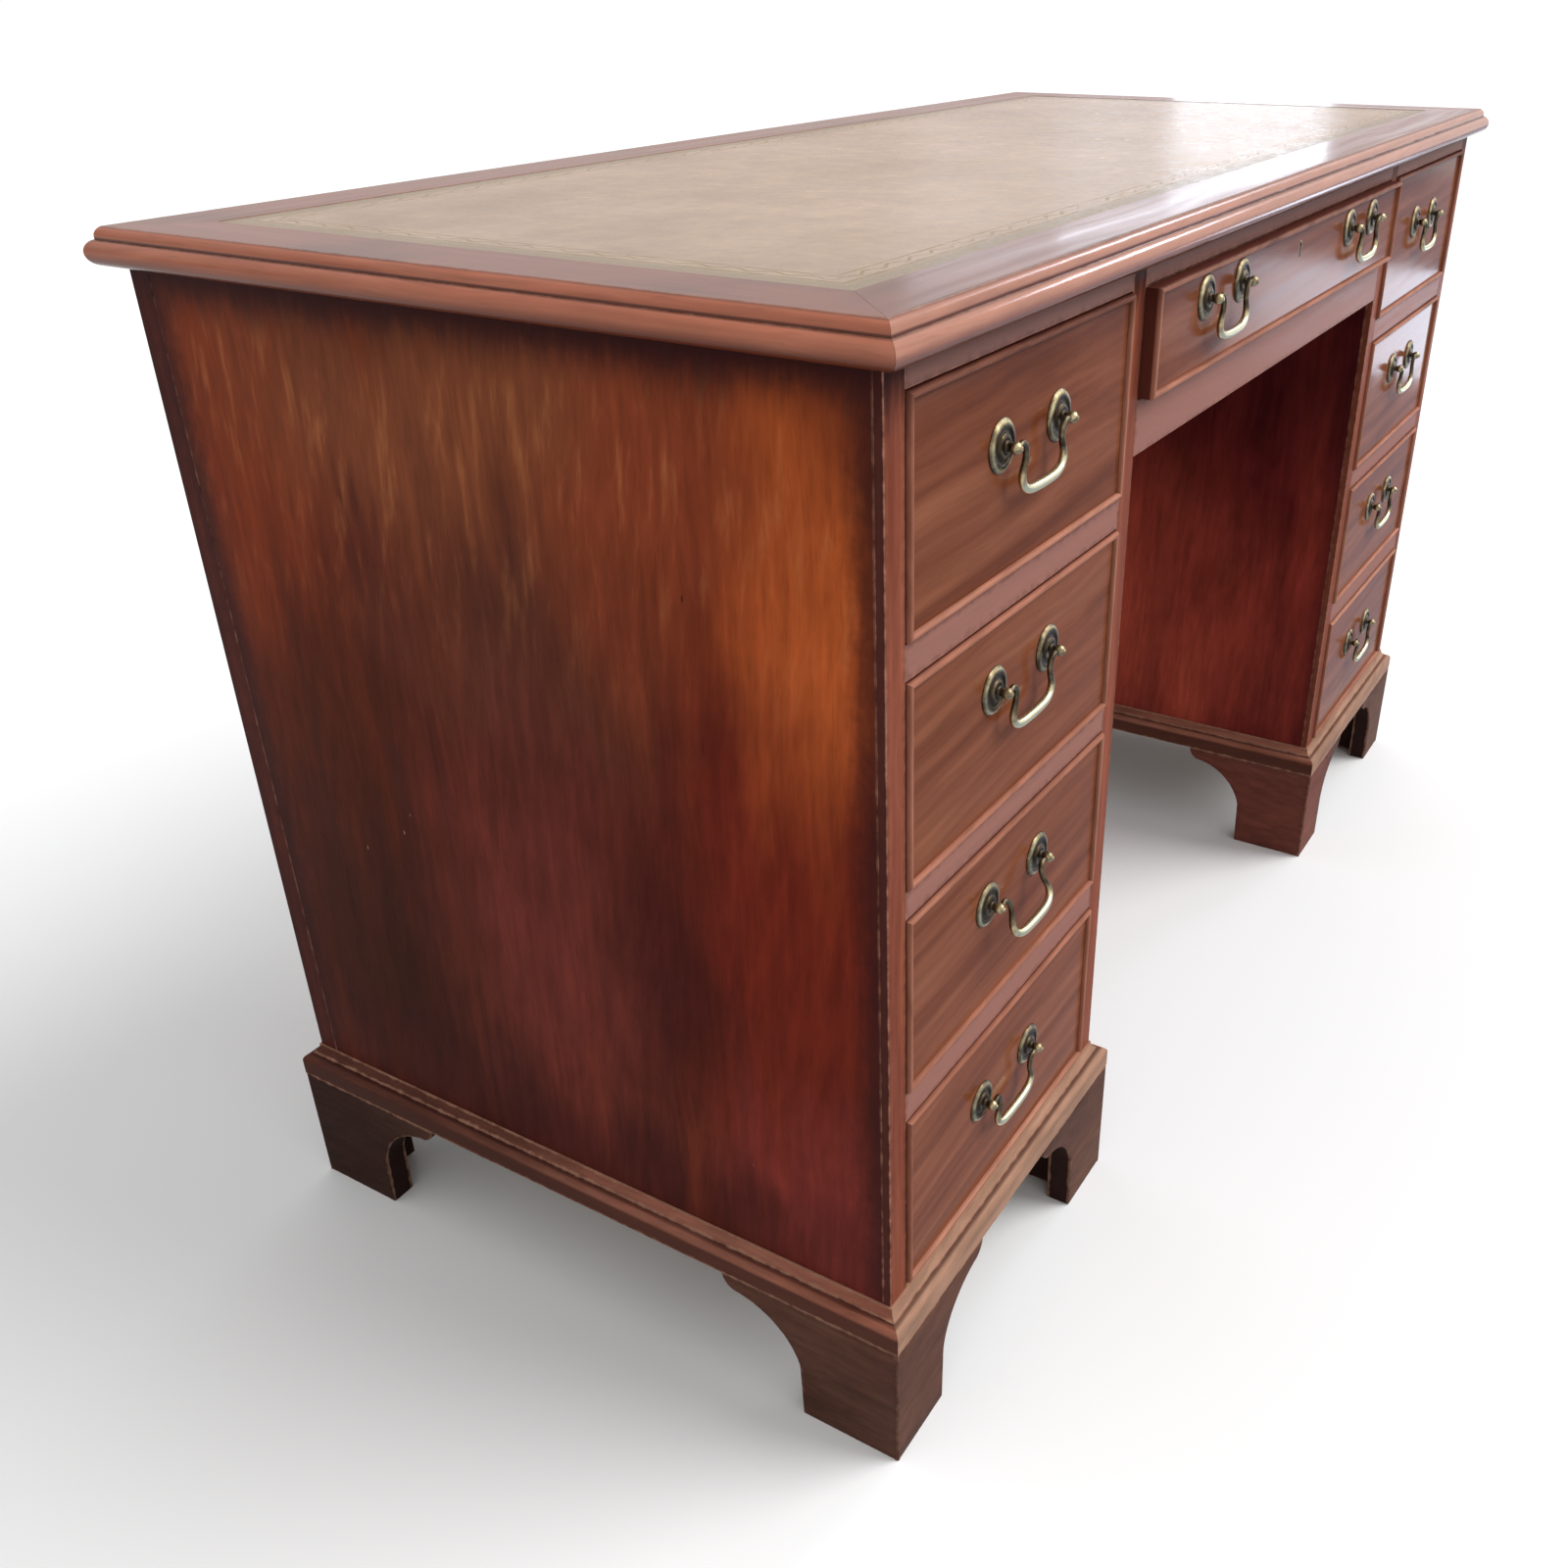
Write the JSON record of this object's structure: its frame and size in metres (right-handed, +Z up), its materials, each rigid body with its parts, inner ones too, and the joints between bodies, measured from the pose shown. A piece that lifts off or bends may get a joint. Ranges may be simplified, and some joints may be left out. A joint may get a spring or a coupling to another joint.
{
  "type": "kneehole desk",
  "caption": "Mahogany kneehole desk with a leather writing surface, drawers with swan-neck brass handles in both pedestals and over the kneehole, on bracket feet.",
  "frame": {"origin": "on the floor under the middle of the overall box", "axes": "+X along the front towards the right-hand pedestal, +Y from the drawer fronts towards the back, +Z up"},
  "size_m": [1.2688, 0.5804, 0.765],
  "materials": {
    "carcass_wood": "french polished mahogany",
    "top_wood": "french polished mahogany",
    "front_wood": "french polished mahogany",
    "bead_wood": "french polished mahogany",
    "plinth_wood": "worn polished mahogany",
    "foot_wood": "dull scuffed mahogany",
    "lining_wood": "bare oak",
    "leather": "faded tan hide with a gilt line",
    "brass": "aged",
    "steel": "worn"
  },
  "bodies": {
    "carcass": {"top_border": "top_wood", "top_panel": "lining_wood", "leather_writing_surface": "leather", "left_outer_side": "carcass_wood", "right_outer_side": "carcass_wood", "kneehole_sides": "carcass_wood", "front_frame": "carcass_wood", "drawer_runners": "lining_wood", "bottom_boards": "lining_wood", "back_boards": "carcass_wood", "plinth_moulding": "plinth_wood", "bracket_feet": "foot_wood"},
    "left_1_drawer": {"left_1_front": "front_wood", "left_1_cockbead": "bead_wood", "left_1_box": "lining_wood", "left_1_handle_plates": "brass"},
    "left_1_bail": {"left_1_bail": "brass"},
    "left_2_drawer": {"left_2_front": "front_wood", "left_2_cockbead": "bead_wood", "left_2_box": "lining_wood", "left_2_handle_plates": "brass"},
    "left_2_bail": {"left_2_bail": "brass"},
    "left_3_drawer": {"left_3_front": "front_wood", "left_3_cockbead": "bead_wood", "left_3_box": "lining_wood", "left_3_handle_plates": "brass"},
    "left_3_bail": {"left_3_bail": "brass"},
    "left_4_drawer": {"left_4_front": "front_wood", "left_4_cockbead": "bead_wood", "left_4_box": "lining_wood", "left_4_handle_plates": "brass"},
    "left_4_bail": {"left_4_bail": "brass"},
    "right_1_drawer": {"right_1_front": "front_wood", "right_1_cockbead": "bead_wood", "right_1_box": "lining_wood", "right_1_handle_plates": "brass"},
    "right_1_bail": {"right_1_bail": "brass"},
    "right_2_drawer": {"right_2_front": "front_wood", "right_2_cockbead": "bead_wood", "right_2_box": "lining_wood", "right_2_handle_plates": "brass"},
    "right_2_bail": {"right_2_bail": "brass"},
    "right_3_drawer": {"right_3_front": "front_wood", "right_3_cockbead": "bead_wood", "right_3_box": "lining_wood", "right_3_handle_plates": "brass"},
    "right_3_bail": {"right_3_bail": "brass"},
    "right_4_drawer": {"right_4_front": "front_wood", "right_4_cockbead": "bead_wood", "right_4_box": "lining_wood", "right_4_handle_plates": "brass"},
    "right_4_bail": {"right_4_bail": "brass"},
    "centre_drawer": {"centre_front": "front_wood", "centre_cockbead": "bead_wood", "centre_box": "lining_wood", "centre_handle_plates": "brass", "centre_lock": "brass"},
    "centre_left_bail": {"centre_left_bail": "brass"},
    "centre_right_bail": {"centre_right_bail": "brass"},
    "centre_lock_bolt": {"centre_lock_bolt": "steel"}
  },
  "joints": [
    {"name": "left_1_slide", "type": "slide", "parent": "carcass", "child": "left_1_drawer", "axis": [0, -1, 0], "range_m": [0, 0.37]},
    {"name": "left_1_bail_swing", "type": "hinge", "parent": "left_1_drawer", "child": "left_1_bail", "pos_m": [-0.459, -0.278, 0.675], "axis": [-1, 0, 0], "range_deg": [-10, 110]},
    {"name": "left_2_slide", "type": "slide", "parent": "carcass", "child": "left_2_drawer", "axis": [0, -1, 0], "range_m": [0, 0.37]},
    {"name": "left_2_bail_swing", "type": "hinge", "parent": "left_2_drawer", "child": "left_2_bail", "pos_m": [-0.459, -0.278, 0.53], "axis": [-1, 0, 0], "range_deg": [-10, 110]},
    {"name": "left_3_slide", "type": "slide", "parent": "carcass", "child": "left_3_drawer", "axis": [0, -1, 0], "range_m": [0, 0.37]},
    {"name": "left_3_bail_swing", "type": "hinge", "parent": "left_3_drawer", "child": "left_3_bail", "pos_m": [-0.459, -0.278, 0.3795], "axis": [-1, 0, 0], "range_deg": [-28, 92]},
    {"name": "left_4_slide", "type": "slide", "parent": "carcass", "child": "left_4_drawer", "axis": [0, -1, 0], "range_m": [0, 0.37]},
    {"name": "left_4_bail_swing", "type": "hinge", "parent": "left_4_drawer", "child": "left_4_bail", "pos_m": [-0.459, -0.278, 0.217], "axis": [-1, 0, 0], "range_deg": [-10, 110]},
    {"name": "right_1_slide", "type": "slide", "parent": "carcass", "child": "right_1_drawer", "axis": [0, -1, 0], "range_m": [0, 0.37]},
    {"name": "right_1_bail_swing", "type": "hinge", "parent": "right_1_drawer", "child": "right_1_bail", "pos_m": [0.459, -0.278, 0.675], "axis": [-1, 0, 0], "range_deg": [-10, 110]},
    {"name": "right_2_slide", "type": "slide", "parent": "carcass", "child": "right_2_drawer", "axis": [0, -1, 0], "range_m": [0, 0.37]},
    {"name": "right_2_bail_swing", "type": "hinge", "parent": "right_2_drawer", "child": "right_2_bail", "pos_m": [0.459, -0.278, 0.53], "axis": [-1, 0, 0], "range_deg": [-10, 110]},
    {"name": "right_3_slide", "type": "slide", "parent": "carcass", "child": "right_3_drawer", "axis": [0, -1, 0], "range_m": [0, 0.37]},
    {"name": "right_3_bail_swing", "type": "hinge", "parent": "right_3_drawer", "child": "right_3_bail", "pos_m": [0.459, -0.278, 0.3795], "axis": [-1, 0, 0], "range_deg": [-10, 110]},
    {"name": "right_4_slide", "type": "slide", "parent": "carcass", "child": "right_4_drawer", "axis": [0, -1, 0], "range_m": [0, 0.37]},
    {"name": "right_4_bail_swing", "type": "hinge", "parent": "right_4_drawer", "child": "right_4_bail", "pos_m": [0.459, -0.278, 0.217], "axis": [-1, 0, 0], "range_deg": [-10, 110]},
    {"name": "centre_slide", "type": "slide", "parent": "carcass", "child": "centre_drawer", "axis": [0, -1, 0], "range_m": [-0.008, 0.35]},
    {"name": "centre_left_bail_swing", "type": "hinge", "parent": "centre_drawer", "child": "centre_left_bail", "pos_m": [-0.174, -0.286, 0.706], "axis": [-1, 0, 0], "range_deg": [-10, 110]},
    {"name": "centre_right_bail_swing", "type": "hinge", "parent": "centre_drawer", "child": "centre_right_bail", "pos_m": [0.174, -0.286, 0.706], "axis": [-1, 0, 0], "range_deg": [-10, 110]},
    {"name": "centre_lock_bolt_throw", "type": "slide", "parent": "centre_drawer", "child": "centre_lock_bolt", "axis": [0, 0, 1], "range_m": [0, 0.008]}
  ]
}
